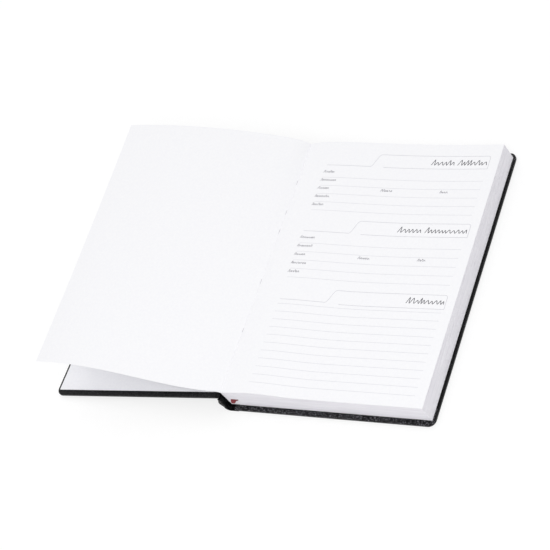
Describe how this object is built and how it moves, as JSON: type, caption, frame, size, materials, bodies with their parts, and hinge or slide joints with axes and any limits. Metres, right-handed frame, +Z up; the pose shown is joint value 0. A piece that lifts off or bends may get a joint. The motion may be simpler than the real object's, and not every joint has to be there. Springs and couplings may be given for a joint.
{
  "type": "daily planner",
  "caption": "Daily planner with a black leatherette hard cover lying open at its first leaf, with a sewn text block, an arched turned leaf, a ribbon marker and swinging covers",
  "frame": {"origin": "middle of the back cover's underside, on the table", "axes": "+X from the gutter to the fore edge of the back cover, +Y from the tail of the pages to their head, +Z up from the table"},
  "size_m": [0.293, 0.2074, 0.0484],
  "materials": {
    "black_leatherette": "satin",
    "grey_board": "matte",
    "endpaper": "matte",
    "page_paper": "matte",
    "binding_gauze": "matte",
    "lining_paper": "matte",
    "ribbon_satin": "satin"
  },
  "bodies": {
    "text_block": {"signature_01": "page_paper", "signature_02": "page_paper", "signature_03": "page_paper", "signature_04": "page_paper", "signature_05": "page_paper", "signature_06": "page_paper", "signature_07": "page_paper", "signature_08": "page_paper", "signature_09": "page_paper", "signature_10": "page_paper", "signature_11": "page_paper", "form_leaf": "page_paper", "back_flyleaf": "endpaper", "mull": "binding_gauze", "spine_lining": "lining_paper", "spine_board": "grey_board", "spine_leatherette": "black_leatherette", "front_joint_leatherette": "black_leatherette", "rear_joint_leatherette": "black_leatherette", "ribbon_marker": "ribbon_satin"},
    "front_cover": {"front_board": "grey_board", "front_cover_leatherette": "black_leatherette", "front_pastedown": "endpaper"},
    "back_cover": {"back_board": "grey_board", "back_cover_leatherette": "black_leatherette", "back_pastedown": "endpaper"},
    "turned_leaf": {"title_leaf": "page_paper"},
    "endleaf": {"front_flyleaf": "endpaper"}
  },
  "joints": [
    {"name": "front_cover_hinge", "type": "hinge", "parent": "text_block", "child": "front_cover", "pos_m": [-0.0767, 0, 0.01788], "axis": [0, 1, 0], "range_deg": [0, 186], "deforming": ["form_leaf", "signature_01", "front_joint_leatherette"]},
    {"name": "back_cover_hinge", "type": "hinge", "parent": "text_block", "child": "back_cover", "pos_m": [-0.0767, 0, 0.00265], "axis": [0, 1, 0], "range_deg": [0, 170], "deforming": ["rear_joint_leatherette"]},
    {"name": "title_leaf_turn", "type": "hinge", "parent": "text_block", "child": "turned_leaf", "pos_m": [-0.0775, 0, 0.01803], "axis": [0, 1, 0], "range_deg": [0, 169.1], "deforming": ["title_leaf"]},
    {"name": "front_flyleaf_turn", "type": "hinge", "parent": "text_block", "child": "endleaf", "pos_m": [-0.0767, 0, 0.01788], "axis": [0, 1, 0], "range_deg": [0, 186]}
  ],
  "couplings": [
    {"joint": "title_leaf_turn", "follows": "front_cover_hinge", "ratio": 0.9091},
    {"joint": "front_flyleaf_turn", "follows": "front_cover_hinge", "ratio": 1}
  ]
}
